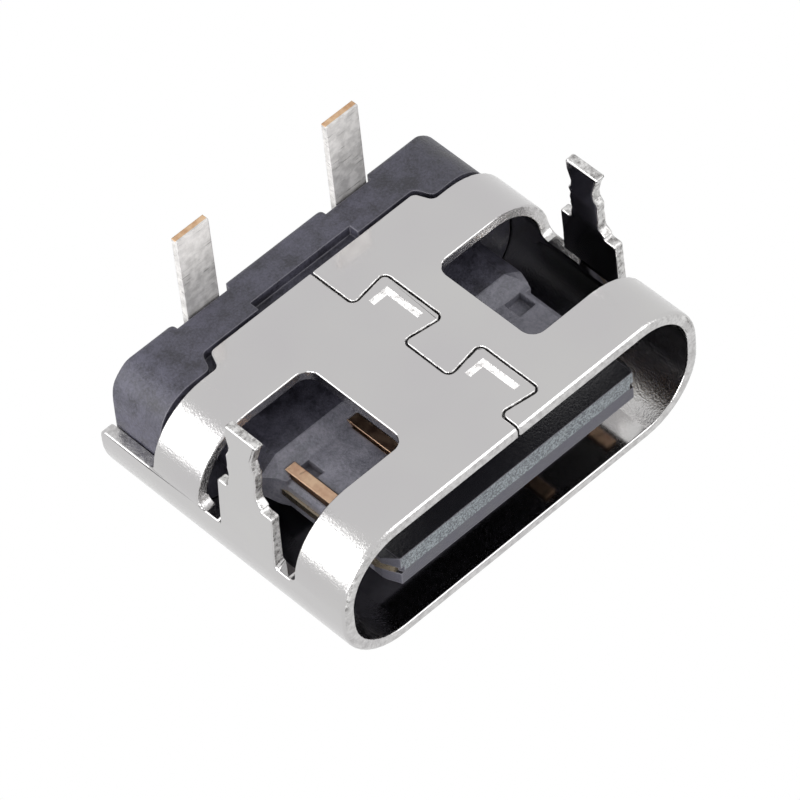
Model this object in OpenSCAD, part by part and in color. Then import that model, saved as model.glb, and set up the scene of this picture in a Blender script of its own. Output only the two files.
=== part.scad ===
// Two-pin power socket for the small reversible oval plug, through-hole, lying on
// its flat in-use top with the board side up. The mouth faces -Y. Lengths along Y
// are measured from the mouth, heights along Z from the flat side it lies on.

/* [Shell] */
// Width over the rounded sides
shell_w = 8.84; // [8.6:0.02:9.2]
// Height of the oval
shell_h = 3.06; // [3.0:0.02:3.3]
// Length of the low half, from the mouth to the rear
shell_l = 6.35; // [6.2:0.05:7.4]
// Thickness of the rolled steel sheet
sheet = 0.25; // [0.2:0.01:0.28]
// Outer radius of the four rolled corners
corner_r = 1.37; // [1.2:0.01:1.45]
// Radius round the outer edge of the mouth
rim_r = 0.1; // [0.04:0.01:0.15]
// Length of the board face, from the mouth to its rear edge
face_l = 5.3; // [5.2:0.05:5.5]
// Width of the board face at its rear edge
face_w = 5.06; // [4.8:0.02:5.4]
// How much shorter the rolled corners are than the board face
corner_setback = 0.37; // [0.2:0.01:0.5]
// How far the step between them slants outwards
step_slant = 0.16; // [0:0.01:0.2]
// Radius of the swept corners of that step
step_r = 0.15; // [0.05:0.01:0.18]
// Height of the low half that reaches to the rear
lip_h = 1.68; // [1.6:0.02:1.8]
// Radius of the low half's corners
lip_r = 0.16; // [0.05:0.01:0.25]

/* [Seam] */
// Place of the seam's straight stretches across the shell
seam_x = -0.03; // [-0.1:0.01:0.1]
// Gap between the two rolled edges where they meet
seam_gap = 0.03; // [0.02:0.005:0.06]
// Number of dovetail lobes that lock the seam
lobe_count = 2; // [1:1:2]
// Distance from the mouth to the middle of the first lobe
lobe_first = 1.12; // [1.0:0.02:1.3]
// Distance between the middles of the lobes
lobe_pitch = 2.45; // [2.0:0.05:2.7]
// How far a lobe reaches across the seam
lobe_depth = 0.89; // [0.6:0.01:1.0]
// Width of a lobe at its neck
lobe_neck_w = 1.26; // [1.0:0.02:1.4]
// Width of a lobe at its tip
lobe_tip_w = 1.52; // [1.3:0.02:1.6]
// Radius of the lobe's corners
lobe_r = 0.13; // [0.05:0.01:0.18]
// Width of the coined pocket in a lobe
coin_w = 0.41; // [0.2:0.01:0.5]
// Length of the coined pocket in a lobe
coin_l = 0.87; // [0.5:0.01:0.95]
// Depth of the coined pocket
coin_d = 0.07; // [0.02:0.01:0.1]
// Rim left between the coined pocket and the lobe's tip
coin_rim = 0.24; // [0.16:0.01:0.3]

/* [Windows and legs] */
// Distance from the mouth to the front edge of a window
window_front = 1.28; // [1.0:0.02:1.4]
// Length of a window
window_l = 2.48; // [2.2:0.02:2.7]
// Distance from the middle plane to the inner edge of a window
window_x = 1.59; // [1.3:0.01:1.9]
// Corner radius of a window
window_r = 0.28; // [0.1:0.01:0.4]
// Height of the bottom of the slot in front of a leg
slot_h = 1.6; // [1.55:0.01:1.7]
// Height of the bottom of the slot behind a leg
rear_slot_h = 1.68; // [1.6:0.01:1.75]
// Radius of the bottom corners of the slots
slot_r = 0.2; // [0.05:0.01:0.22]
// How much nearer the mouth a leg stands than the middle of its window
leg_shift = 0.04; // [0:0.01:0.1]
// Thickness that the coined legs are left with
leg_t = 0.21; // [0.18:0.01:0.25]
// Height at which the legs are bent inwards
leg_bend_h = 1.8; // [1.76:0.02:2.0]
// Width of a leg at its root
leg_root_w = 1.4; // [1.2:0.02:1.5]
// Width of the part of a leg that goes through the board
leg_stem_w = 0.85; // [0.7:0.01:1.0]
// Width of the waist below the head
leg_waist_w = 0.66; // [0.5:0.01:0.68]
// Width of the head
leg_head_w = 0.82; // [0.7:0.01:1.0]
// Height of the leg's shoulders
leg_shoulder_h = 2.92; // [2.8:0.02:3.0]
// Height of the waist
leg_waist_h = 4.05; // [3.9:0.02:4.15]
// Height over which the stem narrows to the waist
leg_taper_h = 0.28; // [0.15:0.01:0.4]
// Height of the top of the leg
leg_top_h = 4.57; // [4.5:0.01:4.9]
// Radius that the cutting tool leaves on the leg's corners
leg_r = 0.07; // [0.02:0.01:0.1]
// Angle by which each leg leans inwards
leg_lean = 2.5; // [0:0.5:3]

/* [Housing] */
// Length from the mouth to the housing's rear face
housing_l = 6.33; // [6.1:0.01:7.3]
// Distance from the mouth to the wall that stops the plug
wall_y = 4.55; // [4.4:0.05:4.7]
// Clearance between the housing and the sheet round it
fit = 0.03; // [0.01:0.01:0.06]
// Gap between the housing's shoulder and the rear edges of the shell
shoulder_gap = 0.1; // [0.04:0.01:0.15]
// Height of the housing's rear shoulder
shoulder_h = 3.0; // [2.9:0.01:3.0]
// Height of the foot of the rear shoulder
shoulder_foot = 1; // [0.8:0.05:1.2]
// Width of the housing's rear shoulder
shoulder_w = 8.18; // [8.0:0.02:8.24]
// Radius of the shoulder's two upper edges
shoulder_r = 0.85; // [0.5:0.01:1.0]
// Width of the shallow recess in front of the shoulder
recess_w = 2.48; // [1.5:0.02:3.0]
// Depth of that recess
recess_d = 0.22; // [0.05:0.01:0.3]
// Radius of the two rear corners
rear_r = 0.2; // [0.05:0.01:0.3]
// Radius along the shoulder's upper rear edge
brow_r = 0.12; // [0.05:0.01:0.2]
// Room in the rear slots beside each tail, towards -X
tail_room = 0.32; // [0.1:0.01:0.4]
// Room in its slot beside the ground tail, towards +X
ground_tail_room = 0.2; // [0.04:0.01:0.4]
// Room in its slot beside the power tail, towards +X
power_tail_room = 0.05; // [0.04:0.01:0.4]
// Radius of the slots' outer corners
tail_slot_r = 0.16; // [0.05:0.01:0.16]
// Depth of the slots at the board side
tail_slot_d = 0.19; // [0.17:0.01:0.25]
// Depth of the slots further down, where the tails bend
bend_slot_d = 0.3; // [0.27:0.01:0.4]
// Height of the foot of the slots
tail_slot_foot = 0.95; // [0.7:0.05:1.0]

/* [Tongue] */
// Distance from the mouth to the tip of the tongue
tongue_tip = 0.15; // [0.1:0.01:0.4]
// Thickness of the tongue
tongue_t = 0.7; // [0.66:0.01:0.74]
// Width of the tongue
tongue_w = 6.1; // [6.0:0.02:6.4]
// Width of the tongue's tip
tip_w = 5.8; // [5.6:0.02:5.9]
// Length of the taper at the tip
tip_l = 0.35; // [0.3:0.05:0.6]
// Depth of the groove round the tip's sides, in line with the plate
tip_groove_d = 0.08; // [0.04:0.01:0.12]
// Bevel along the tongue's two edges towards the board
tongue_bevel = 0.14; // [0.05:0.01:0.15]
// Bevel along its other two edges
keel_bevel = 0.03; // [0.02:0.01:0.15]
// Distance from the mouth to the foot of the ramp
ramp_y = 2.98; // [2.8:0.02:3.1]
// Length of the ramp
ramp_l = 0.35; // [0.2:0.01:0.4]
// Thickness of the tongue's root behind the ramp
root_t = 1.08; // [1.0:0.01:1.2]
// Thickness of the root's sides
root_side_t = 0.54; // [0.4:0.02:0.66]
// Width of the root
root_w = 6.5; // [6.4:0.02:6.7]
// Width of the flat part of the root
root_flat_w = 5.72; // [5.6:0.02:5.9]
// Width of a square moulding pocket in the tongue
pocket_w = 0.41; // [0.2:0.01:0.45]
// Depth of that pocket
pocket_d = 0.2; // [0.1:0.01:0.25]
// Distance from the middle plane to the outer edge of a pocket
pocket_x = 2.85; // [2.7:0.01:2.87]

/* [Contacts] */
// Thickness of the copper alloy strip
strip_t = 0.15; // [0.12:0.01:0.16]
// Width of a contact finger
finger_w = 0.24; // [0.2:0.01:0.26]
// Distance from the middle plane to a ground finger
ground_x = 2.79; // [2.75:0.01:2.8]
// Distance from the middle plane to a power finger
power_x = 1.25; // [1.2:0.01:1.3]
// Distance from the mouth to the front end of a finger
finger_y = 0.75; // [0.7:0.05:1.0]
// How far a finger stands out of the tongue
finger_proud = 0.05; // [0.03:0.01:0.06]
// Gap beside a finger
finger_gap = 0.04; // [0.02:0.01:0.06]
// Distance from the mouth to the middle of the power terminal's cross bar
power_bar_y = 4.15; // [4.0:0.05:4.3]
// Distance from the mouth to the middle of the ground terminal's cross bar
ground_bar_y = 4.95; // [4.8:0.05:5.3]
// Length of a cross bar from front to rear
bar_l = 0.4; // [0.3:0.05:0.5]
// Length over which a finger jogs from one face of the tongue towards the other
jog_l = 0.4; // [0.35:0.05:0.5]
// Distance between the two tails
tail_pitch = 3.68; // [3.5:0.02:3.8]
// Width of a tail
tail_w = 0.76; // [0.6:0.01:0.8]
// Height of the end of a tail
tail_h = 5; // [4.8:0.02:5.4]
// How far the end of a tail leans to the rear
tail_lean = 0.06; // [0:0.01:0.1]
// Bend radius on the inside of a bend in the strip
bend_r = 0.1; // [0.08:0.01:0.11]
// Thickness of the steel plate in the tongue
plate_t = 0.16; // [0.1:0.01:0.2]
// Width of the plate
plate_w = 6.2; // [6.16:0.02:6.4]
// Distance from the tongue's tip to the front edge of the plate
plate_setback = 0.12; // [0.1:0.01:0.3]
// Distance from the mouth to the rear edge of the plate
plate_end = 3.4; // [3.2:0.05:3.4]

/* [Hidden] */
$fn = 64;
arc_steps = 6;
over = 1;                                   // how far a cutter runs past what it cuts
lap = 0.1;                                  // how far a form runs into the one that it grows out of
mid_h = shell_h / 2;                        // height of the tongue's middle plane
corner_l = face_l - corner_setback;         // length of the rolled corners
window_end = window_front + window_l;
leg_y = window_front + window_l / 2 - leg_shift; // middle of a leg
tail_y = housing_l - strip_t / 2;           // middle of a tail's thickness, at its bend
full_l = max(shell_l, tail_y + strip_t / 2 + tail_lean);
upper_h = mid_h + tongue_t / 2 + finger_proud - strip_t / 2; // middle of an upper finger
lower_h = 2 * mid_h - upper_h;              // middle of a lower finger

// ---- outlines ----------------------------------------------------------------

function unit(v) = v / norm(v);
function left_of(v) = [-v[1], v[0]];

// Points of an arc of radius r that rounds the corner b between a and c.
function corner(a, b, c, r) =
    let (u = unit(a - b), v = unit(c - b), half = acos(u * v) / 2)
    half > 89.5 ? [b] :
    let (m = b + unit(u + v) * r / sin(half),
         p = b + u * r / tan(half) - m,
         q = b + v * r / tan(half) - m,
         turn = atan2(p[0] * q[1] - p[1] * q[0], p * q))
    [for (i = [0 : arc_steps])
        let (t = turn * i / arc_steps)
        m + [p[0] * cos(t) - p[1] * sin(t), p[0] * sin(t) + p[1] * cos(t)]];

// An open path with its inner corners rounded to radius r.
function rounded(path, r) = [
    each [path[0]],
    for (i = [1 : len(path) - 2]) each corner(path[i - 1], path[i], path[i + 1], r),
    each [path[len(path) - 1]]];

// An open path moved sideways by d, keeping its distance at every bend.
function beside(path, d) = [
    for (i = [0 : len(path) - 1])
        let (n = len(path) - 1,
             u = left_of(unit(path[max(i, 1)] - path[max(i, 1) - 1])),
             v = left_of(unit(path[min(i, n - 1) + 1] - path[min(i, n - 1)])),
             m = unit(u + v))
        path[i] + m * d / (m * u)];

function backwards(path) = [for (i = [len(path) - 1 : -1 : 0]) path[i]];

// A band of width w along a path.
module band(path, w)
    polygon(concat(beside(path, w / 2), backwards(beside(path, -w / 2))));

// A rectangle from corner a to corner b with its corners rounded to radius r.
module rounded_box(a, b, r) {
    translate([a[0] + r, a[1]]) square([b[0] - a[0] - 2 * r, b[1] - a[1]]);
    translate([a[0], a[1] + r]) square([b[0] - a[0], b[1] - a[1] - 2 * r]);
    for (x = [a[0] + r, b[0] - r])
        for (y = [a[1] + r, b[1] - r])
            translate([x, y]) circle(r);
}

// ---- placing -----------------------------------------------------------------

// The mouth stands at -full_l / 2, so that the origin is under the middle.
module from_mouth() translate([0, -full_l / 2, 0]) children();

// Extrudes an outline drawn in (x, z) from y0 to y1.
module along_y(y0, y1) translate([0, y1, 0]) rotate([90, 0, 0]) linear_extrude(y1 - y0) children();

// Extrudes an outline drawn in (y, z) from x0 to x1.
module along_x(x0, x1) translate([x0, 0, 0]) rotate([90, 0, 90]) linear_extrude(x1 - x0) children();

// Extrudes an outline drawn in (x, y) from z0 to z1.
module along_z(z0, z1) translate([0, 0, z0]) linear_extrude(z1 - z0) children();

module both_sides() {
    children();
    mirror([1, 0, 0]) children();
}

module both_faces() {
    children();
    translate([0, 0, 2 * mid_h]) mirror([0, 0, 1]) children();
}

// ---- shell -------------------------------------------------------------------

// The oval of the shell, with its wall moved inwards by d.
module oval(d)
    rounded_box([d - shell_w / 2, d], [shell_w / 2 - d, shell_h - d], corner_r - d);

// The line along which the two edges of the rolled sheet meet.
function seam_path() =
    let (neck = lobe_neck_w / 2, tip = lobe_tip_w / 2)
    concat([[seam_x, -over]],
        [for (i = [0 : lobe_count - 1])
            let (y = lobe_first + i * lobe_pitch, x = seam_x + lobe_depth)
            each [[seam_x, y - neck], [x, y - tip], [x, y + tip], [seam_x, y + neck]]],
        [[seam_x, face_l + over]]);

module seam_cut()
    along_z(shell_h - 2 * sheet, shell_h + over) band(rounded(seam_path(), lobe_r), seam_gap);

module coin_cuts()
    for (i = [0 : lobe_count - 1])
        translate([seam_x + lobe_depth - coin_rim - coin_w, lobe_first + i * lobe_pitch - coin_l / 2,
            shell_h - coin_d])
            cube([coin_w, coin_l, over]);

// What the shears leave out of the board half at the rear.
module rear_cut() {
    wide = shell_w / 2 + over;
    far = shell_l + over;
    half = face_w / 2;
    edge = [[-wide, corner_l], [-half - step_slant, corner_l], [-half, face_l],
            [half, face_l], [half + step_slant, corner_l], [wide, corner_l]];
    side = [[corner_l, shell_h + over], [corner_l, lip_h], [shell_l, lip_h], [shell_l, lip_h - 2 * lip_r]];
    intersection() {
        along_z(0, shell_h + over) polygon(concat(rounded(edge, step_r), [[wide, far], [-wide, far]]));
        along_x(-wide, wide)
            polygon(concat(rounded(side, lip_r), [[far, lip_h - 2 * lip_r], [far, shell_h + over]]));
    }
}

// One window: it takes in the rolled corner and ends as two slots in the side, which
// meet under the root of the leg.
module window_cut() {
    wide = shell_w / 2 + over;
    high = shell_h + 2 * over;
    under = leg_root_w / 4;
    intersection() {
        along_z(0, shell_h + over)
            rounded_box([window_x, window_front], [wide + window_r, window_end], window_r);
        along_x(0, wide) {
            rounded_box([window_front, slot_h], [leg_y + under, high], slot_r);
            rounded_box([leg_y - under, rear_slot_h], [window_end, high], slot_r);
        }
    }
}

// One edge, in (y, z), of a leg's root, which rises from the bottom of a slot at height foot.
function root_edge(s, foot) = [
    [s * (window_l / 2 + slot_r), slot_h - lap],
    [s * (window_l / 2 + slot_r), foot],
    [s * leg_root_w / 2, foot],
    [s * leg_root_w / 2, leg_bend_h]];

// One edge, in (y, z), of a leg above its bend.
function blade_edge(s) = [
    [s * leg_root_w / 2, leg_bend_h],
    [s * leg_root_w / 2, leg_shoulder_h],
    [s * leg_stem_w / 2, leg_shoulder_h],
    [s * leg_stem_w / 2, leg_waist_h - leg_taper_h],
    [s * leg_waist_w / 2, leg_waist_h],
    [s * leg_head_w / 2, (leg_waist_h + leg_top_h) / 2],
    [s * leg_head_w / 2, leg_top_h]];

// A leg: its root is upright, in the plane of the shell's side, and its blade leans inwards.
module leg() {
    rear = rounded(root_edge(1, rear_slot_h), leg_r);
    front = rounded(root_edge(-1, slot_h), leg_r);
    translate([shell_w / 2, leg_y, 0])
        along_x(-leg_t, 0) polygon(concat(rear, backwards(front)));
    translate([shell_w / 2, leg_y, leg_bend_h]) rotate([0, -leg_lean, 0]) translate([0, 0, -leg_bend_h])
        along_x(-leg_t, 0) polygon(rounded(concat(blade_edge(1), backwards(blade_edge(-1))), leg_r));
}

// The outer form of the shell: the oval with the edge of its mouth rounded.
module skin() {
    x = shell_w / 2 - corner_r;
    along_y(rim_r, shell_l) oval(0);
    along_y(0, rim_r + lap) oval(rim_r);
    for (z = [rim_r, shell_h - rim_r])
        translate([-x, rim_r, z]) rotate([0, 90, 0]) cylinder(h = 2 * x, r = rim_r);
    both_sides() {
        translate([shell_w / 2 - rim_r, rim_r, corner_r]) cylinder(h = shell_h - 2 * corner_r, r = rim_r);
        for (z = [corner_r, shell_h - corner_r])
            translate([x, rim_r, z]) rotate([90, 0, 0])
                rotate_extrude() translate([corner_r - rim_r, 0]) circle(rim_r);
    }
}

module shell()
    color([0.78, 0.77, 0.76]) from_mouth() {
        difference() {
            skin();
            along_y(-over, shell_l + over) oval(sheet);
            seam_cut();
            coin_cuts();
            rear_cut();
            both_sides() window_cut();
        }
        both_sides() leg();
    }

// ---- terminals and plate -----------------------------------------------------

// A strip of width w at x that follows a path in (y, z) with rounded bends.
module strip(x, w, path)
    along_x(x - w / 2, x + w / 2) band(rounded(path, bend_r + strip_t / 2), strip_t);

// A cross bar between x0 and x1, at height h, with its middle at y.
module cross_bar(x0, x1, y, h)
    translate([x0, y - bar_l / 2, h - strip_t / 2]) cube([x1 - x0, bar_l, strip_t]);

module tail(x, y, h)
    strip(x, tail_w, [[y, h], [tail_y, h], [tail_y + tail_lean, tail_h]]);

module straight_finger(x, y, h)
    strip(x, finger_w, [[finger_y, h], [(finger_y + y) / 2, h], [y, h]]);

module jogged_finger(x, y, from_h, to_h)
    strip(x, finger_w,
        [[finger_y, from_h], [y - bar_l / 2 - jog_l, from_h], [y - bar_l / 2, to_h], [y, to_h]]);

module ground_strip() {
    straight_finger(-ground_x, ground_bar_y, upper_h);
    jogged_finger(ground_x, ground_bar_y, lower_h, upper_h);
    cross_bar(-ground_x - finger_w / 2, ground_x + finger_w / 2, ground_bar_y, upper_h);
    tail(-tail_pitch / 2, ground_bar_y, upper_h);
}

module power_strip() {
    straight_finger(power_x, power_bar_y, lower_h);
    jogged_finger(-power_x, power_bar_y, upper_h, lower_h);
    cross_bar(-power_x - finger_w / 2, tail_pitch / 2 + tail_w / 2, power_bar_y, lower_h);
    tail(tail_pitch / 2, power_bar_y, lower_h);
}

// Outline in (x, y) of something that follows the tongue's tip, w wide, from y0 to y1.
module tongue_plan(w, y0, y1) {
    tip = w - (tongue_w - tip_w);
    polygon([[-tip / 2, y0], [tip / 2, y0], [w / 2, y0 + tip_l], [w / 2, y1],
             [-w / 2, y1], [-w / 2, y0 + tip_l]]);
}

module plate()
    along_z(mid_h - plate_t / 2, mid_h + plate_t / 2)
        tongue_plan(plate_w, tongue_tip + plate_setback, plate_end);

module mid_plate() color([0.72, 0.68, 0.60]) from_mouth() plate();

module ground_terminal() color([0.80, 0.62, 0.42]) from_mouth() ground_strip();

module power_terminal() color([0.80, 0.62, 0.42]) from_mouth() power_strip();

// ---- housing -----------------------------------------------------------------

// A section in (x, z), w wide and t thick. Each bevel goes across and down by its two lengths.
module bevelled(w, t, upper, lower)
    translate([0, mid_h])
        polygon([for (p = [[-1, -1, lower], [1, -1, lower], [1, 1, upper], [-1, 1, upper]])
            let (across = [p[0] * (w / 2 - p[2][0]), p[1] * t / 2],
                 down = [p[0] * w / 2, p[1] * (t / 2 - p[2][1])])
            each p[0] * p[1] > 0 ? [down, across] : [across, down]]);

module tongue()
    intersection() {
        along_y(tongue_tip, wall_y + over)
            bevelled(tongue_w, tongue_t, [tongue_bevel, tongue_bevel], [keel_bevel, keel_bevel]);
        along_z(0, shell_h) tongue_plan(tongue_w, tongue_tip, wall_y + over);
    }

// The thicker root, with a ramp down to the tongue and flanks that flare out of it.
module root() {
    start = ramp_y - lap;
    full = ramp_y + ramp_l;
    end = wall_y + over;
    thin = tongue_t / 2;
    thick = root_t / 2;
    bevel = [(root_w - root_flat_w) / 2, (root_t - root_side_t) / 2];
    intersection() {
        along_y(start, end) bevelled(root_w, root_t, bevel, bevel);
        along_x(-root_w, root_w)
            translate([0, mid_h])
                polygon([[start, -thin], [ramp_y, -thin], [full, -thick], [end, -thick],
                         [end, thick], [full, thick], [ramp_y, thin], [start, thin]]);
        along_z(0, shell_h)
            polygon([[-tongue_w / 2, start], [tongue_w / 2, start], [root_w / 2, full],
                     [root_w / 2, end], [-root_w / 2, end], [-root_w / 2, full]]);
    }
}

// The shoulder behind the shell, cut to follow the shell's rear edge.
module shoulder() {
    reach = corner_l + shoulder_gap;
    front = face_l + shoulder_gap;
    half = face_w / 2 + shoulder_gap;
    base = half + step_slant;
    wide = shoulder_w / 2 + over;
    intersection() {
        along_x(-wide, wide) rounded_box([corner_l - over, -over], [housing_l, shoulder_h], brow_r);
        along_y(corner_l, housing_l)
            rounded_box([-shoulder_w / 2, shoulder_foot], [shoulder_w / 2, shoulder_h], shoulder_r);
        along_z(0, shell_h + over)
            polygon(concat(
                rounded([[-wide, reach], [-base, reach], [-half, front], [-recess_w / 2, front]], step_r),
                [[-recess_w / 2, front + recess_d], [recess_w / 2, front + recess_d]],
                rounded([[recess_w / 2, front], [half, front], [base, reach], [wide, reach]], step_r),
                [[wide, housing_l + over], [-wide, housing_l + over]]));
    }
}

// One side, at x, of a tail slot in plan, with its outer corner rounded towards side s.
function slot_side(s, x) =
    let (floor_y = housing_l - tail_slot_d, flare = [x + s * over, housing_l])
    concat([flare + [0, over], flare],
        corner(flare, [x, housing_l], [x, floor_y], tail_slot_r),
        [[x, floor_y]]);

// The slot behind which a tail stands, from x0 to x1, deeper where the tail bends.
module tail_slot(x0, x1) {
    along_z(tail_slot_foot, shell_h + over) polygon(concat(slot_side(-1, x0), backwards(slot_side(1, x1))));
    translate([x0, housing_l - bend_slot_d, tail_slot_foot])
        cube([x1 - x0, over, upper_h + bend_r + 2 * strip_t - tail_slot_foot]);
}

module tail_slots()
    for (t = [[-1, ground_tail_room], [1, power_tail_room]]) {
        x = t[0] * tail_pitch / 2;
        tail_slot(x - tail_w / 2 - tail_room, x + tail_w / 2 + t[1]);
    }

// Square pockets that the moulding pins leave in front of the ramp.
module pockets()
    both_faces() both_sides()
        translate([pocket_x - pocket_w, ramp_y - pocket_w - finger_gap / 2, mid_h + tongue_t / 2 - pocket_d])
            cube([pocket_w, pocket_w, over]);

// The grooves round the tip's sides, in which the edge of the plate shows.
module tip_grooves() {
    web = tip_w - 2 * tip_groove_d;
    along_z(mid_h - plate_t / 2, mid_h + plate_t / 2) difference() {
        translate([-tongue_w / 2, tongue_tip - over]) square([tongue_w, over + plate_setback + tip_l]);
        translate([-web / 2, tongue_tip - 2 * over]) square([web, 2 * over]);
        tongue_plan(tongue_w - 2 * tip_groove_d, tongue_tip, tongue_tip + over);
    }
}

// Room beside each finger, in the face that it lies in.
module finger_channels()
    for (p = [[-ground_x, 1], [-power_x, 1], [power_x, -1], [ground_x, -1]]) {
        w = finger_w + 2 * finger_gap;
        floor_h = p[1] > 0 ? upper_h - strip_t / 2 : lower_h + strip_t / 2 - over;
        translate([p[0] - w / 2, finger_y - finger_gap, floor_h]) cube([w, ramp_y - finger_y, over]);
    }

module housing()
    color([0.27, 0.27, 0.30]) from_mouth()
        difference() {
            intersection() {
                union() {
                    tongue();
                    root();
                    along_y(wall_y, housing_l) oval(sheet + fit);
                    shoulder();
                }
                along_z(0, shell_h + over)
                    rounded_box([-shell_w / 2 + sheet + fit, 0],
                        [shell_w / 2 - sheet - fit, housing_l], rear_r);
            }
            tail_slots();
            pockets();
            tip_grooves();
            finger_channels();
            plate();
            ground_strip();
            power_strip();
        }

shell();
housing();
mid_plate();
ground_terminal();
power_terminal();
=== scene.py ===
"""Small oval power socket with a rolled steel shell, lying on its flat side, board side up.

Lengths are in metres, except while the shell's copy is worked, which is in millimetres. X
runs across the mouth, Y from the mouth to the rear and Z towards the board, as in the
frame. The housing, the plate and the two terminals come from the frame and get their
finishes here. The shell is a copy of the frame's shell with the soft edges that rolling
and shearing leave on a strip.
"""

import bmesh
import bpy
import numpy as np
from mathutils import Matrix, Vector


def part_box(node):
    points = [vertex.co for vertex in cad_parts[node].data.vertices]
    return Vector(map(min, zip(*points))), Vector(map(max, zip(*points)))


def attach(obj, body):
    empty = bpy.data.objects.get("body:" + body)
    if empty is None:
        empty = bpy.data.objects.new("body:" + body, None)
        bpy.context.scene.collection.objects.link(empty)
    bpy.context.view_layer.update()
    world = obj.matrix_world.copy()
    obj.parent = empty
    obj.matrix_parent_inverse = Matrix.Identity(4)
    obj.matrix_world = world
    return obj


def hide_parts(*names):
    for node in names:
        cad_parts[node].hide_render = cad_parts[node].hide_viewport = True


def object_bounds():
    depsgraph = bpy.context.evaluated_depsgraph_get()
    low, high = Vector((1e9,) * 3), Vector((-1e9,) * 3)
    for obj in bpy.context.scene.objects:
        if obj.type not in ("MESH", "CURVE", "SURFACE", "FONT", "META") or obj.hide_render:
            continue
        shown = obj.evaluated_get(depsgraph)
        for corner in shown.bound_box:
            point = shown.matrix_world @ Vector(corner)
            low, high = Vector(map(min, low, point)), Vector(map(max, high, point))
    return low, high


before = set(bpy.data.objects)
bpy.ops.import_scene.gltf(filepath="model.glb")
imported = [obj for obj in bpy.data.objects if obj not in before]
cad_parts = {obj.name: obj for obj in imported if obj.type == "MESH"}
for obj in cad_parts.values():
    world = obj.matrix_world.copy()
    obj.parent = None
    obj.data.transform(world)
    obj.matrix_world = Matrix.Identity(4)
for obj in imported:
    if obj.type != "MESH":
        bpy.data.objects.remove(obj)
cad_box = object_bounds()

MM = 0.001
MOUTH = cad_box[0][1]          # Y of the mouth's plane
LAMP_DISTANCE = 90 * MM

# Sizes of the shell in millimetres, as it is drawn in CAD.
SHELL_H = 3.06                 # height of the board face over the flat side
CORNER_R = 1.37                # outer radius of the rolled corners
SHEET = 0.25                   # thickness of the sheet
LEG_T = 0.21                   # thickness of the coined legs

# Where the shell's parts are found, in millimetres.
NEAR = 0.01                    # how near a point lies to a plane that it counts as lying on
LEG_BAND = 0.4                 # width of the band at the shell's sides that holds the legs
LEAN_ROOM = 0.2                # room for the legs' lean, inwards of the sheet's inner face
ROOT_REACH = 0.3               # how much further along Y a leg's root may reach than its blade
BLADE_FOOT = 1.9               # height over which a leg is blade
ROOT_HEIGHTS = (1.5, 1.85)     # heights between which a leg's root lies
STEP_HEIGHTS = (1.55, 1.7)     # heights between which the step inside the root lies
CLEAR_UP = 0.2                 # points this far over the board face are a blade's
SHALLOW = 0.2                  # faces that go less far below it are a pocket's
POCKET_FOOT = 0.1              # a pocket's wall starts less far below it
POCKET_WALL = 0.05             # least height of a pocket's wall
SEAM_DEPTH = 0.16              # depth, reach to each side and distance from the mouth of
SEAM_REACH = 1.2               # the patch that holds the seam and its pockets
SEAM_START = 0.3

# How the shell's edges are worked. Lengths are in millimetres and angles in degrees.
RAMP_H = 0.11                  # height to which that step is drawn out
FINE_ARC = 0.01                # edges of a leg's outline shorter than this become a corner
POCKET_LEAN = 0.05             # how far the brim and the foot of a pocket's wall each move
FLAT_TURN = 0.3                # faces that turn by less are one face
CUT_TURN = 50                  # faces that leave the strip's own normal by more are cut ones
ROUND_TURN = 40                # outward edges that turn by more are rounded
SMOOTH_TURN = 25               # edges that turn by less are shaded smooth
REST_TEAR = 0.35               # how torn the cut faces are, away from the legs' blades
POCKET_TEAR = 0.8              # and how torn the walls of the pockets and the seam are


# ---- colours and nodes ---------------------------------------------------------

def linear(hex_colour):
    """Linear RGBA of an sRGB hex colour: v / 12.92 below 0.04045, else ((v + 0.055) / 1.055) ** 2.4."""
    v = np.array([int(hex_colour[i:i + 2], 16) for i in (0, 2, 4)]) / 255.0
    rgb = np.where(v <= 0.04045, v / 12.92, ((v + 0.055) / 1.055) ** 2.4)
    return (*rgb.tolist(), 1.0)


def grey(value):
    return (value, value, value, 1.0)


def node(tree, kind, inputs=None, stops=None, **settings):
    """Adds a node and returns it.

    inputs maps a socket's name or number to its value, or to the socket that it is linked
    from. stops are a colour ramp's stops, each a position and an RGBA colour.
    """
    made = tree.nodes.new(kind)
    for name, value in settings.items():
        setattr(made, name, value)
    for name, value in (inputs or {}).items():
        if isinstance(value, bpy.types.NodeSocket):
            tree.links.new(value, made.inputs[name])
        else:
            made.inputs[name].default_value = value
    if stops:
        elements = made.color_ramp.elements
        while len(elements) < len(stops):
            elements.new(0.5)
        for element, (position, colour) in zip(elements, stops):
            element.position = position
            element.color = colour
    return made


def blank_material(name):
    """An empty node material, its node tree, and its Object coordinates."""
    material = bpy.data.materials.new(name)
    material.use_nodes = True
    tree = material.node_tree
    tree.nodes.clear()
    return material, tree, node(tree, "ShaderNodeTexCoord").outputs["Object"]


def finish_material(tree, shader):
    node(tree, "ShaderNodeOutputMaterial", {"Surface": shader.outputs[0]})


# ---- materials -----------------------------------------------------------------

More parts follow.
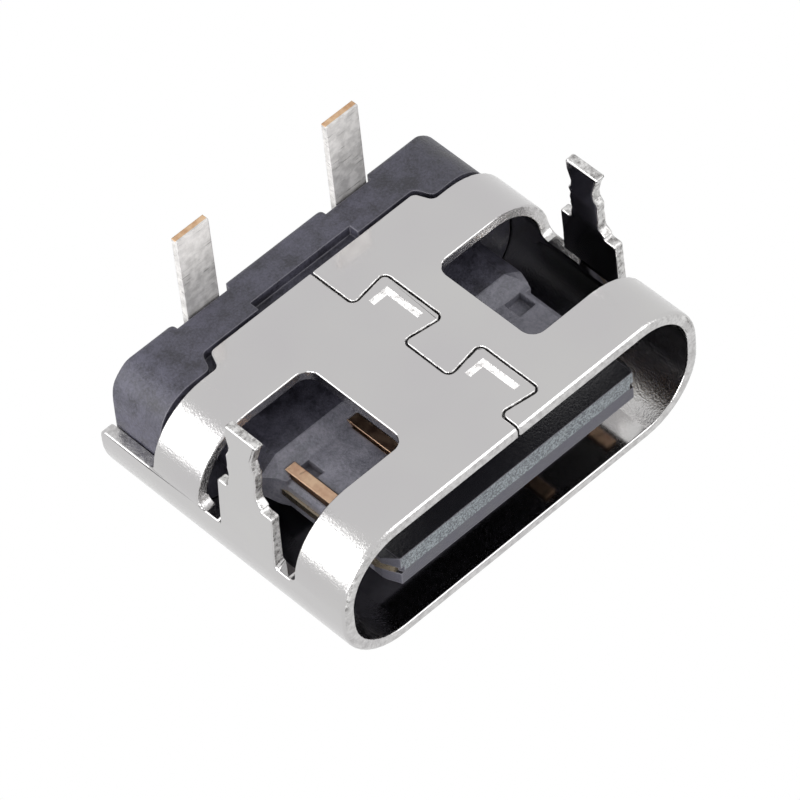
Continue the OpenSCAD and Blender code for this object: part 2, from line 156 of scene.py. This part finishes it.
def plated_steel():
    """Nickel-plated stainless strip, cold rolled, blanked and rolled round.

    It mirrors its surroundings. Round the bends the grain, 0.04 mm wide, has risen to an
    orange peel, which frays the borders of a reflection. The sheared faces are torn and
    burnished by turns, every 0.12 mm or so, and shine unevenly.
    """
    material, tree, place = blank_material("nickel_plated_strip")
    grain = node(tree, "ShaderNodeTexNoise",
                 {"Scale": 1 / (0.04 * MM), "Detail": 3.0, "Roughness": 0.6, "Vector": place}).outputs["Fac"]
    cloud = node(tree, "ShaderNodeTexNoise",
                 {"Scale": 1 / (2.5 * MM), "Detail": 2.0, "Vector": place}).outputs["Fac"]
    torn = node(tree, "ShaderNodeTexNoise",
                {"Scale": 1 / (0.12 * MM), "Detail": 4.0, "Roughness": 0.65, "Vector": place}).outputs["Fac"]
    sheared = node(tree, "ShaderNodeAttribute", attribute_name="sheared").outputs["Fac"]
    bent = node(tree, "ShaderNodeAttribute", attribute_name="bent").outputs["Fac"]
    skin = node(tree, "ShaderNodeValToRGB", {"Fac": cloud},
                [(0.3, linear("BFBDBE")), (0.7, linear("C3C2C1"))])
    cut = node(tree, "ShaderNodeValToRGB", {"Fac": torn}, [(0.36, linear("8A8887")), (0.6, linear("DCDBDA"))])
    colour = node(tree, "ShaderNodeMix", {"Factor": sheared, "A": skin.outputs[0], "B": cut.outputs[0]},
                  data_type="RGBA")
    smooth = node(tree, "ShaderNodeValToRGB", {"Fac": grain}, [(0.3, grey(0.09)), (0.7, grey(0.14))])
    ragged = node(tree, "ShaderNodeValToRGB", {"Fac": torn}, [(0.35, grey(0.22)), (0.65, grey(0.45))])
    rough = node(tree, "ShaderNodeMix", {"Factor": sheared, "A": smooth.outputs[0], "B": ragged.outputs[0]},
                 data_type="RGBA")
    peel = node(tree, "ShaderNodeBump", {"Strength": bent, "Distance": 0.006 * MM, "Height": grain})
    bump = node(tree, "ShaderNodeBump",
                {"Strength": sheared, "Distance": 0.03 * MM, "Height": torn, "Normal": peel.outputs[0]})
    finish_material(tree, node(tree, "ShaderNodeBsdfPrincipled",
                               {"Metallic": 1.0, "Base Color": colour.outputs["Result"],
                                "Roughness": rough.outputs["Result"], "Normal": bump.outputs[0]}))
    return material


def moulded_nylon():
    """Glass-filled nylon, injection moulded in two shots in a spark-eroded tool.

    The first shot, the tongue with its ramp, is paler than the second behind it. The line
    between them lies just behind the ramp, so the pale ramp also paints the light on it and
    the darker root top paints the shade that the shell casts there. The tool leaves a fine
    mottled skin with a dull sheen. The tongue's tip is darker, and on the upper part of its
    front face the glass lies open and sparkles. Near the mouth the tongue's broad faces are
    painted near black and made smoother, a painted shade for the shell's shadow on them.
    All edges are coloured paler.
    """
    material, tree, place = blank_material("glass_filled_nylon")
    part = node(tree, "ShaderNodeSeparateXYZ", {"Vector": place}).outputs
    tip_end = MOUTH + 0.7 * MM
    # How far from the mouth the painted shade on the tongue's broad faces reaches.
    painted_shade_end = MOUTH + 1.25 * MM
    # The line between the shots, which also sets where the painted shade on the root's top begins.
    shot_and_shade_line = MOUTH + 3.36 * MM
    open_glass_foot = 1.5 * MM
    grain = node(tree, "ShaderNodeTexNoise",
                 {"Scale": 1 / (0.05 * MM), "Detail": 4.0, "Roughness": 0.65, "Vector": place}).outputs["Fac"]
    cloud = node(tree, "ShaderNodeTexNoise",
                 {"Scale": 1 / (0.45 * MM), "Detail": 5.0, "Roughness": 0.65, "Vector": place}).outputs["Fac"]

    # The two shots. Their line lies just behind the ramp, so the paler first shot also paints
    # # the light on the ramp and the darker second paints the shell's shade on the root's top.
    mottle = node(tree, "ShaderNodeMix", {"Factor": 0.4, "A": cloud, "B": grain},
                  data_type="FLOAT").outputs[0]
    first = node(tree, "ShaderNodeValToRGB", {"Fac": mottle},
                 [(0.4, linear("64646E")), (0.6, linear("8B8A95"))])
    second = node(tree, "ShaderNodeValToRGB", {"Fac": mottle},
                  [(0.4, linear("27262F")), (0.6, linear("4F4E5B"))])
    shot = node(tree, "ShaderNodeMath", {0: part["Y"], 1: shot_and_shade_line}, operation="GREATER_THAN")
    body = node(tree, "ShaderNodeMix",
                {"Factor": shot.outputs[0], "A": first.outputs[0], "B": second.outputs[0]},
                data_type="RGBA")

    # The tip, and the open glass on its front face.
    fibre = node(tree, "ShaderNodeTexNoise",
                 {"Scale": 1 / (0.03 * MM), "Detail": 3.0, "Vector": place}).outputs["Fac"]
    glass = node(tree, "ShaderNodeValToRGB", {"Fac": fibre},
                 [(0.4, linear("484C53")), (0.62, linear("8B9397"))])
    plain = node(tree, "ShaderNodeValToRGB", {"Fac": cloud},
                 [(0.3, linear("42424A")), (0.7, linear("4E4D58"))])
    facing = node(tree, "ShaderNodeTexCoord").outputs["Normal"]
    facing = node(tree, "ShaderNodeSeparateXYZ", {"Vector": facing}).outputs
    front = node(tree, "ShaderNodeMath", {0: part["Y"], 1: tip_end}, operation="LESS_THAN").outputs[0]
    flat = node(tree, "ShaderNodeMath", {0: facing["Y"], 1: -0.9}, operation="LESS_THAN").outputs[0]
    upper = node(tree, "ShaderNodeMath", {0: part["Z"], 1: open_glass_foot},
                 operation="GREATER_THAN").outputs[0]
    open_glass = node(tree, "ShaderNodeMath", {0: front, 1: flat}, operation="MULTIPLY").outputs[0]
    open_glass = node(tree, "ShaderNodeMath", {0: open_glass, 1: upper}, operation="MULTIPLY").outputs[0]
    skin = node(tree, "ShaderNodeMix", {"Factor": front, "A": body.outputs["Result"], "B": plain.outputs[0]},
                data_type="RGBA")
    skin = node(tree, "ShaderNodeMix",
                {"Factor": open_glass, "A": skin.outputs["Result"], "B": glass.outputs[0]},
                data_type="RGBA")

    # Painted shade: near the mouth the tongue's broad faces, in the shell's shadow, are coloured near black
    # and made smoother.
    level = node(tree, "ShaderNodeMath", {0: facing["Z"]}, operation="ABSOLUTE").outputs[0]
    level = node(tree, "ShaderNodeMath", {0: level, 1: 0.5}, operation="GREATER_THAN").outputs[0]
    ahead = node(tree, "ShaderNodeMath", {0: part["Y"], 1: painted_shade_end}, operation="LESS_THAN").outputs[0]
    painted_shade_near_mouth = node(tree, "ShaderNodeMath", {0: level, 1: ahead}, operation="MULTIPLY").outputs[0]
    skin = node(tree, "ShaderNodeMix", {"Factor": painted_shade_near_mouth, "A": skin.outputs["Result"], "B": linear("1B1B1F")},
                data_type="RGBA")

    # Paler edges, where the rounded normal turns away from the surface's own.
    edge = node(tree, "ShaderNodeBevel", {"Radius": 0.05 * MM}, samples=8)
    own_normal = node(tree, "ShaderNodeNewGeometry").outputs["Normal"]
    turned = node(tree, "ShaderNodeVectorMath", {0: edge.outputs[0], 1: own_normal}, operation="DOT_PRODUCT")
    paler_edge = node(tree, "ShaderNodeMapRange",
                {"Value": turned.outputs["Value"], "From Min": 0.99, "From Max": 0.8, "To Max": 0.55})
    colour = node(tree, "ShaderNodeMix",
                  {"Factor": paler_edge.outputs[0], "A": skin.outputs["Result"], "B": linear("8A8891")},
                  data_type="RGBA")

    rough = node(tree, "ShaderNodeValToRGB", {"Fac": cloud}, [(0.35, grey(0.34)), (0.65, grey(0.55))])
    rough = node(tree, "ShaderNodeMix", {"Factor": painted_shade_near_mouth, "A": rough.outputs[0], "B": grey(0.2)},
                 data_type="RGBA")
    bump = node(tree, "ShaderNodeBump",
                {"Strength": 0.8, "Distance": 0.016 * MM, "Height": grain, "Normal": edge.outputs[0]})
    finish_material(tree, node(tree, "ShaderNodeBsdfPrincipled",
                               {"IOR": 1.53, "Base Color": colour.outputs["Result"],
                                "Roughness": rough.outputs["Result"], "Normal": bump.outputs[0]}))
    return material


def stamped_plate():
    """Plain stainless plate, cold rolled and stamped. Its shine is soft and a little warm."""
    material, tree, place = blank_material("bare_stainless")
    grain = node(tree, "ShaderNodeTexNoise",
                 {"Scale": 1 / (0.05 * MM), "Detail": 2.0, "Vector": place}).outputs["Fac"]
    rough = node(tree, "ShaderNodeValToRGB", {"Fac": grain}, [(0.3, grey(0.25)), (0.7, grey(0.38))])
    finish_material(tree, node(tree, "ShaderNodeBsdfPrincipled",
                               {"Metallic": 1.0, "Base Color": linear("C9BBA3"),
                                "Roughness": rough.outputs[0]}))
    return material


def plated_strip():
    """Copper alloy strip, plated and then blanked.

    It is flash gilt on the fingers and matt tin on the tails. Where a tail was cut off its
    frame the copper shows, under a smear of tin that the blade dragged over its front. Dark
    scratches, about 0.6 mm long and 0.05 mm high, run across the strip.
    """
    material, tree, place = blank_material("copper_alloy_strip")
    part = node(tree, "ShaderNodeSeparateXYZ", {"Vector": place}).outputs
    tail_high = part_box("ground_terminal")[1]
    tin_front = tail_high[1] - 1.2 * MM
    copper_front = tail_high[1] - 0.11 * MM
    cut_end = tail_high[2] - 0.02 * MM
    tinned = node(tree, "ShaderNodeMath", {0: part["Y"], 1: tin_front}, operation="GREATER_THAN").outputs[0]
    end = node(tree, "ShaderNodeMath", {0: part["Z"], 1: cut_end}, operation="GREATER_THAN").outputs[0]
    bare = node(tree, "ShaderNodeMath", {0: part["Y"], 1: copper_front}, operation="GREATER_THAN").outputs[0]
    cut = node(tree, "ShaderNodeMath", {0: end, 1: bare}, operation="MULTIPLY").outputs[0]
    wear = node(tree, "ShaderNodeTexNoise",
                {"Scale": 1 / (0.2 * MM), "Detail": 5.0, "Roughness": 0.6, "Vector": place}).outputs["Fac"]
    gilt = node(tree, "ShaderNodeValToRGB", {"Fac": wear},
                [(0.35, linear("B08D76")), (0.65, linear("CDB094"))])
    tin = node(tree, "ShaderNodeValToRGB", {"Fac": wear}, [(0.4, linear("C2C0BE")), (0.62, linear("E0DEDC"))])
    plated = node(tree, "ShaderNodeMix", {"Factor": tinned, "A": gilt.outputs[0], "B": tin.outputs[0]},
                  data_type="RGBA")
    copper = node(tree, "ShaderNodeValToRGB", {"Fac": wear},
                  [(0.35, linear("B98F6A")), (0.65, linear("DDBD9A"))])
    body = node(tree, "ShaderNodeMix", {"Factor": cut, "A": plated.outputs["Result"], "B": copper.outputs[0]},
                data_type="RGBA")

    # The scratches, a grain of 0.16 mm drawn out along X and squeezed along Z.
    drawn = node(tree, "ShaderNodeMapping", {"Vector": place, "Scale": (0.25, 1.0, 3.0)})
    scored = node(tree, "ShaderNodeTexNoise",
                  {"Scale": 1 / (0.16 * MM), "Detail": 3.0, "Roughness": 0.7, "Vector": drawn.outputs[0]})
    scored = node(tree, "ShaderNodeValToRGB", {"Fac": scored.outputs["Fac"]},
                  [(0.6, grey(1.0)), (0.68, grey(0.45))])
    body = node(tree, "ShaderNodeMix", {"Factor": 1.0, "A": body.outputs["Result"], "B": scored.outputs[0]},
                data_type="RGBA", blend_type="MULTIPLY")

    metal = node(tree, "ShaderNodeMapRange", {"Value": tinned, "To Min": 1.0, "To Max": 0.45})
    rough = node(tree, "ShaderNodeValToRGB", {"Fac": wear}, [(0.35, grey(0.28)), (0.65, grey(0.42))])
    edge = node(tree, "ShaderNodeBevel", {"Radius": 0.025 * MM}, samples=8)
    bump = node(tree, "ShaderNodeBump",
                {"Strength": 0.5, "Distance": 0.006 * MM, "Height": wear, "Normal": edge.outputs[0]})
    finish_material(tree, node(tree, "ShaderNodeBsdfPrincipled",
                               {"Metallic": metal.outputs[0], "Base Color": body.outputs["Result"],
                                "Roughness": rough.outputs[0], "Normal": bump.outputs[0]}))
    return material


# ---- the pieces ----------------------------------------------------------------

def dress(name, material):
    """Gives every slot of a frame node the material."""
    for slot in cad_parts[name].material_slots:
        slot.material = material


def strip_masks(points, normals, low, high, corner, legs):
    """Where a strip rolled to a rounded oblong is cut, and where it is bent, as shares per face.

    The strip's own normal at a point is the point's offset from the oblong of the corners'
    centres. A face is a cut one where its normal leaves that direction by more than
    CUT_TURN, and a bent one where it lies round a corner's centre. The legs stand upright,
    so X is their normal; legs holds their lowest and highest Y.
    """
    centres = np.array([[low[0] + corner, low[2] + corner], [high[0] - corner, high[2] - corner]])
    flat = points[:, [0, 2]]
    offset = flat - np.clip(flat, centres[0], centres[1])
    leg = ((np.abs(points[:, 0]) > high[0] - LEG_BAND) & (points[:, 2] > centres[1, 1])
           & (points[:, 1] > legs[0]) & (points[:, 1] < legs[1]))
    offset[leg] = [1.0, 0.0]
    bent = ((np.abs(offset) > NEAR).all(axis=1) & ~leg).astype(np.float32)
    offset /= np.maximum(np.linalg.norm(offset, axis=1, keepdims=True), 1e-9)
    along = np.abs((normals[:, [0, 2]] * offset).sum(axis=1))
    return (along < np.cos(np.radians(CUT_TURN))).astype(np.float32), bent


def torn_edges(work, legs, side, foot, step, depth, seed):
    """Nicks the long cut faces of the legs above foot, as the press tears them.

    The leg's outline is first freed of its finest arcs, each of which becomes one corner. A
    face at least two and a half steps long is then cut across about every step. The two
    points of a cut slide along the face by up to a quarter of a step and move into the
    blade by up to depth.
    """
    draw = np.random.default_rng(seed)
    fine = [edge for edge in work.edges if edge.calc_length() < FINE_ARC
            and all(abs(vert.co.x) > side and vert.co.z > foot for vert in edge.verts)]
    bmesh.ops.collapse(work, edges=fine)
    for face in list(work.faces):
        on_leg = all(abs(vert.co.x) > side and vert.co.z > foot and legs[0] < vert.co.y < legs[1]
                     for vert in face.verts)
        sideways = abs(face.normal.x) > 0.5
        on_top = face.normal.z > 0.8
        if len(face.verts) != 4 or sideways or on_top or not on_leg:
            continue
        pair = [edge for edge in face.edges if any(abs(other.normal.x) > 0.8 for other in edge.link_faces)]
        if len(pair) != 2 or min(edge.calc_length() for edge in pair) < 2.5 * step:
            continue
        inward = -face.normal.copy()
        way = (pair[0].verts[1].co - pair[0].verts[0].co).normalized()
        cuts = int(pair[0].calc_length() / step) - 1
        rails = []
        for edge in pair:
            rail = [min(edge.verts, key=lambda vert: vert.co.dot(way))]
            for left in range(cuts + 1, 1, -1):
                rail.append(bmesh.utils.edge_split(edge, rail[-1], 1 / left)[1])
            rails.append(rail[1:])
        for rung in zip(*rails):
            shared = draw.random() ** 2
            slide = way * (draw.random() - 0.5) * 0.5 * step
            bmesh.utils.face_split(next(part for part in rung[0].link_faces if rung[1] in part.verts), *rung)
            for vert in rung:
                vert.co += inward * depth * (2 * shared + draw.random() ** 2) / 3 + slide


def widened_pockets(work, skin):
    """Slopes the two coined pockets' right and rear walls, which the punch leaves open by 0.1 mm.

    A wall is a face of four corners that looks left or forward, is POCKET_WALL high or more
    and starts no more than POCKET_FOOT below skin. The nicked front faces of the legs pass
    that test too. From 3.1 mm up they are set back by 0.1 mm, or by 0.05 mm near their tops,
    and their lowest such points, 3 mm up, come 0.05 mm forward.
    """
    for face in list(work.faces):
        heights = [vert.co.z for vert in face.verts]
        foot, brim = min(heights), max(heights)
        if len(face.verts) != 4 or foot < skin - POCKET_FOOT or brim < skin - NEAR:
            continue
        if brim - foot < POCKET_WALL:
            continue
        if face.normal.x < -0.9:
            lean = Vector((-POCKET_LEAN, 0.0, 0.0))
        elif face.normal.y < -0.9:
            lean = Vector((0.0, -POCKET_LEAN, 0.0))
        else:
            continue
        for vert in face.verts:
            vert.co += lean if vert.co.z < skin - NEAR else -lean


def weighted_edges(work, skin, inner, leg_face):
    """Weighs the edges that are to be rounded and says which are shaded smooth.

    Outward edges that turn by more than ROUND_TURN are rounded, apart from those inside a
    leg's root, where the sheet's inner face and the leg's meet, and those of the shallow
    pockets.
    """
    weight = work.edges.layers.float.new("bevel_weight_edge")
    for edge in work.edges:
        turn = np.degrees(edge.calc_face_angle_signed(0.0))
        root = all(inner - NEAR < abs(vert.co.x) < leg_face + NEAR
                   and ROOT_HEIGHTS[0] < vert.co.z < ROOT_HEIGHTS[1] for vert in edge.verts)
        shallow = all(skin - SHALLOW < vert.co.z < skin + NEAR
                      for face in edge.link_faces for vert in face.verts)
        edge[weight] = float(turn > ROUND_TURN and not root and not shallow)
        edge.smooth = bool(abs(turn) < SMOOTH_TURN)
    for face in work.faces:
        face.smooth = True


def rounded_copy(mesh, radius, segments):
    """A new mesh with the weighted edges rounded to radius."""
    rough = bpy.data.objects.new("rough_shell", mesh)
    bpy.context.scene.collection.objects.link(rough)
    ease = rough.modifiers.new("ease", "BEVEL")
    ease.width = radius
    ease.segments = segments
    ease.limit_method = "WEIGHT"
    ease.use_clamp_overlap = False
    ease.harden_normals = True
    eased = bpy.data.meshes.new_from_object(rough.evaluated_get(bpy.context.evaluated_depsgraph_get()))
    bpy.data.objects.remove(rough)
    return eased


def vectors(items, name):
    """The named vector of every item, a row for each."""
    values = np.empty(len(items) * 3)
    items.foreach_get(name, values)
    return values.reshape(-1, 3)


def pressed_shell(radius, segments):
    """A copy of the shell with its outward edges rounded to radius and its legs' edges torn.

    It is worked in millimetres and set back to metres at the end, because the tools' own
    tolerances are too coarse for edges this short. The step inside a leg's root is drawn
    out to a ramp. The shallow coined pockets keep their own edges. Two attributes say how
    torn a face is and whether it is bent.
    """
    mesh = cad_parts["shell"].data.copy()
    low, high = np.array(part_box("shell")) / MM
    skin = low[2] + SHELL_H
    inner = high[0] - SHEET
    leg_face = high[0] - LEG_T
    work = bmesh.new()
    work.from_mesh(mesh)
    for vert in work.verts:
        vert.co /= MM
    bmesh.ops.remove_doubles(work, verts=work.verts, dist=2e-4)
    bmesh.ops.dissolve_limit(work, angle_limit=np.radians(FLAT_TURN), verts=work.verts, edges=work.edges)
    for vert in work.verts:
        if abs(abs(vert.co.x) - leg_face) < 2 * NEAR and STEP_HEIGHTS[0] < vert.co.z < STEP_HEIGHTS[1]:
            vert.co.z += RAMP_H
    blade = [vert.co.y for vert in work.verts if vert.co.z > skin + CLEAR_UP]
    legs = min(blade) - ROOT_REACH, max(blade) + ROOT_REACH
    torn_edges(work, legs, side=inner - LEAN_ROOM, foot=BLADE_FOOT, step=0.11, depth=0.05, seed=4)
    widened_pockets(work, skin)
    work.normal_update()
    weighted_edges(work, skin, inner, leg_face)
    work.to_mesh(mesh)
    work.free()
    eased = rounded_copy(mesh, radius, segments)

    points = vectors(eased.polygons, "center")
    normals = vectors(eased.polygons, "normal")
    shear, bent = strip_masks(points, normals, low, np.array([high[0], high[1], skin]), CORNER_R, legs)
    torn = (points[:, 2] > BLADE_FOOT) & (np.abs(points[:, 0]) > high[0] - LEG_BAND)
    shear *= np.where(torn, 1.0, REST_TEAR)
    # Round the seam and its pockets the level faces are whole and the steep ones torn.
    seam = ((points[:, 2] > skin - SEAM_DEPTH) & (np.abs(points[:, 0]) < SEAM_REACH)
            & (points[:, 1] > low[1] + SEAM_START))
    steep = np.abs(normals[:, 2]) < 0.95
    shear[seam] = 0.0
    shear[seam & steep] = POCKET_TEAR
    eased.attributes.new("sheared", "FLOAT", "FACE").data.foreach_set("value", shear)
    eased.attributes.new("bent", "FLOAT", "FACE").data.foreach_set("value", bent)
    # The rounding can leave a corner a little proud, so all points are kept in the shell's box.
    kept_in = np.clip(vectors(eased.vertices, "co"), low, high)
    eased.vertices.foreach_set("co", kept_in.ravel() * MM)
    eased.update()
    eased.name = "pressed_shell"
    piece = bpy.data.objects.new("pressed_shell", eased)
    bpy.context.scene.collection.objects.link(piece)
    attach(piece, "root")
    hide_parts("shell")
    return piece


# ---- floor, light and camera ---------------------------------------------------

def floor_sheet(half, depth):
    """A square sheet of side 2 * half, its surface depth below the piece."""
    corners = np.array([(-half, -half, -depth), (half, -half, -depth),
                        (half, half, -depth), (-half, half, -depth)])
    mesh = bpy.data.meshes.new("white_card")
    mesh.from_pydata(corners.tolist(), [], [(0, 1, 2, 3)])
    sheet = bpy.data.objects.new("white_card", mesh)
    bpy.context.scene.collection.objects.link(sheet)
    return sheet


def seen_plainly(tree):
    """1 for rays from the camera and from mirrors, and 0 for the rest."""
    path = node(tree, "ShaderNodeLightPath").outputs
    return node(tree, "ShaderNodeMath", {0: path["Is Camera Ray"], 1: path["Is Glossy Ray"]},
                operation="MAXIMUM").outputs[0]


def white_card():
    """White card. Rays from the camera and from mirrors see plain white; the rest see a pale matt card.

    It is clear from beneath, so that the underside can be looked at.
    """
    material, tree, _ = blank_material("white_card")
    matt = node(tree, "ShaderNodeBsdfDiffuse", {"Color": linear("E6E6E6")})
    glow = node(tree, "ShaderNodeEmission", {"Color": grey(1.0), "Strength": 1.0})
    above = node(tree, "ShaderNodeMixShader",
                 {"Fac": seen_plainly(tree), 1: matt.outputs[0], 2: glow.outputs[0]})
    beneath = node(tree, "ShaderNodeNewGeometry").outputs["Backfacing"]
    clear = node(tree, "ShaderNodeBsdfTransparent")
    finish_material(tree, node(tree, "ShaderNodeMixShader",
                               {"Fac": beneath, 1: above.outputs[0], 2: clear.outputs[0]}))
    return material


def surroundings():
    """A white tent: white to the camera and in mirrors, and softer as light on matt surfaces."""
    world = bpy.data.worlds.new("tent")
    world.use_nodes = True
    tree = world.node_tree
    tree.nodes.clear()
    strength = node(tree, "ShaderNodeMapRange", {"Value": seen_plainly(tree), "To Min": 0.45, "To Max": 1.0})
    background = node(tree, "ShaderNodeBackground", {"Color": grey(1.0), "Strength": strength.outputs[0]})
    node(tree, "ShaderNodeOutputWorld", {"Surface": background.outputs[0]})
    bpy.context.scene.world = world


def softbox(name, direction, distance, width, height, radiance, aim):
    """An area lamp. Its power is radiance * pi * area, so that a mirror shows it at that radiance."""
    lamp = bpy.data.lights.new(name, "AREA")
    lamp.shape = "RECTANGLE"
    lamp.size = width
    lamp.size_y = height
    lamp.energy = radiance * np.pi * width * height
    holder = bpy.data.objects.new(name, lamp)
    towards = Vector(direction).normalized()
    holder.matrix_world = (Matrix.Translation(aim + towards * distance)
                           @ towards.to_track_quat("Z", "Y").to_matrix().to_4x4())
    bpy.context.scene.collection.objects.link(holder)


def camera_at(azimuth, elevation, roll, distance, lens, aim, offset):
    """A long lens at the given angles in degrees.

    offset moves the aim across and up the frame, as a share of its width.
    """
    az, el, turn = np.radians([azimuth, elevation, roll])
    back = np.array([np.sin(az) * np.cos(el), -np.cos(az) * np.cos(el), np.sin(el)])
    right = np.cross(-back, (0.0, 0.0, 1.0))
    right /= np.linalg.norm(right)
    up = np.cross(right, -back)
    up = up * np.cos(turn) + right * np.sin(turn)
    right = np.cross(-back, up)
    sensor = 36.0
    across, high = np.array(offset) * sensor / lens * distance
    place = np.array(aim) + back * distance - right * across - up * high
    camera = bpy.data.cameras.new("camera")
    camera.sensor_width = sensor
    camera.lens = lens
    camera.clip_start = 10 * MM
    camera.clip_end = 10.0
    holder = bpy.data.objects.new("camera", camera)
    axes = np.array([right, up, back]).T
    holder.matrix_world = Matrix([(*row, p) for row, p in zip(axes, place)] + [(0, 0, 0, 1)])
    bpy.context.scene.collection.objects.link(holder)
    bpy.context.scene.camera = holder


# ---- the scene -----------------------------------------------------------------

shell = pressed_shell(radius=0.04, segments=3)
shell.data.materials.clear()
shell.data.materials.append(plated_steel())
for name, material in (("housing", moulded_nylon()), ("mid_plate", stamped_plate())):
    dress(name, material)
strip_finish = plated_strip()
for name in ("ground_terminal", "power_terminal"):
    dress(name, strip_finish)

middle = Vector((0.0, MOUTH + 3.0 * MM, 1.6 * MM))
card = floor_sheet(half=400 * MM, depth=0.01 * MM)
card.data.materials.append(white_card())
surroundings()
for name, direction, width, height, radiance in (
        ("key", (-0.75, 0.51, 0.423), 60 * MM, 76 * MM, 2.8),
        ("front", (0.41, -0.67, 0.62), 40 * MM, 60 * MM, 2.6),
        ("left", (-0.88, -0.35, 0.33), 60 * MM, 50 * MM, 8.0)):
    softbox(name, direction, LAMP_DISTANCE, width, height, radiance, middle)
camera_at(azimuth=-39.895, elevation=50.443, roll=5.582, distance=122.518 * MM, lens=307.31,
          aim=middle, offset=(0.00796875, 0.01210125))
bpy.context.scene.view_settings.view_transform = "Standard"
